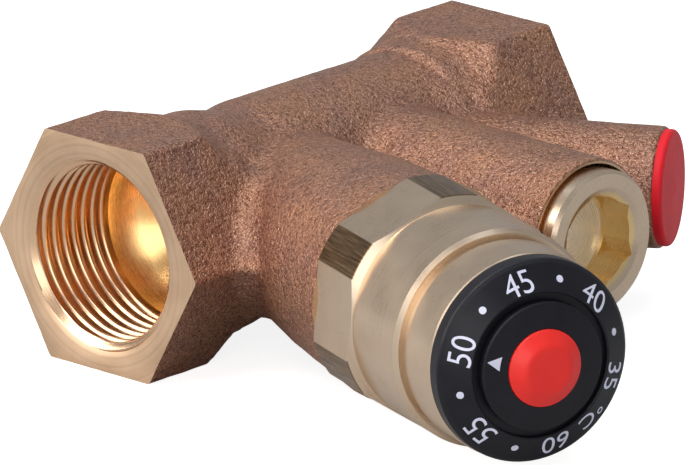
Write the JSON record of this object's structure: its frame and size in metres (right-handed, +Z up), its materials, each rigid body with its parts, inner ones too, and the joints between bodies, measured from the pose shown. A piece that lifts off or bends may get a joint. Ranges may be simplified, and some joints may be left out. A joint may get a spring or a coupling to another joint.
{
  "type": "thermostatic circulation valve",
  "caption": "Cast bronze circulation valve with hexagon pipe ends, a leaning brass thermostat bonnet with a temperature dial, a key plug and a capped gauge port.",
  "frame": {"origin": "centre of the inlet socket's mouth, on its end face", "axes": "+X out of the inlet mouth along the pipe, +Z up, the thermostat bonnet, plug and gauge port towards -Y"},
  "size_m": [0.0866, 0.0982, 0.032],
  "materials": {
    "cast_bronze": "sand-cast, satin, with machined faces and bores",
    "bonnet_brass": "fine turned, satin",
    "black_plastic": "satin moulded",
    "red_button": "moulded, slightly glossy",
    "red_cap": "moulded, slightly glossy",
    "seal_rubber": "matt",
    "spring_steel": "bright"
  },
  "bodies": {
    "valve": {"valve_body": "cast_bronze", "bonnet": "bonnet_brass", "bonnet_seal": "seal_rubber", "scale_sleeve": "bonnet_brass", "scale_ring": "black_plastic", "seat_ring": "spring_steel", "return_spring": "spring_steel", "drain_plug": "bonnet_brass", "plug_seal": "seal_rubber", "gauge_pocket": "bonnet_brass", "pocket_seal": "seal_rubber", "port_cap": "red_cap"},
    "knob": {"pointer_knob": "black_plastic", "setting_spindle": "bonnet_brass", "spindle_seals": "seal_rubber", "spindle_clip": "spring_steel", "lock_screw": "spring_steel", "button_spring": "spring_steel"},
    "button": {"centre_button": "red_button"},
    "lift": {"lift_nut": "bonnet_brass", "element_piston": "spring_steel"},
    "regulator": {"wax_element": "bonnet_brass", "regulating_cone": "bonnet_brass", "cone_seal": "seal_rubber"}
  },
  "joints": [
    {"name": "temperature_setting", "type": "hinge", "parent": "valve", "child": "knob", "pos_m": [-0.04656, 0, 0], "axis": [-0.342, -0.9397, 0], "range_deg": [-184, 115]},
    {"name": "button_press", "type": "slide", "parent": "knob", "child": "button", "axis": [-0.342, -0.9397, 0], "range_m": [-0.0015, 0], "stiffness_N_per_m": 800, "springref_m": 0.0005, "deforming": ["button_spring"]},
    {"name": "lift_travel", "type": "slide", "parent": "valve", "child": "lift", "axis": [-0.342, -0.9397, 0], "range_m": [-0.00184, 0.00115], "deforming": ["return_spring"]},
    {"name": "element_stroke", "type": "slide", "parent": "lift", "child": "regulator", "axis": [-0.342, -0.9397, 0], "range_m": [-0.0025, 0], "stiffness_N_per_m": 4000, "springref_m": 0.001, "deforming": ["return_spring"]}
  ],
  "couplings": [
    {"joint": "temperature_setting", "follows": "lift_travel", "rad_per_m": 1745.3}
  ]
}
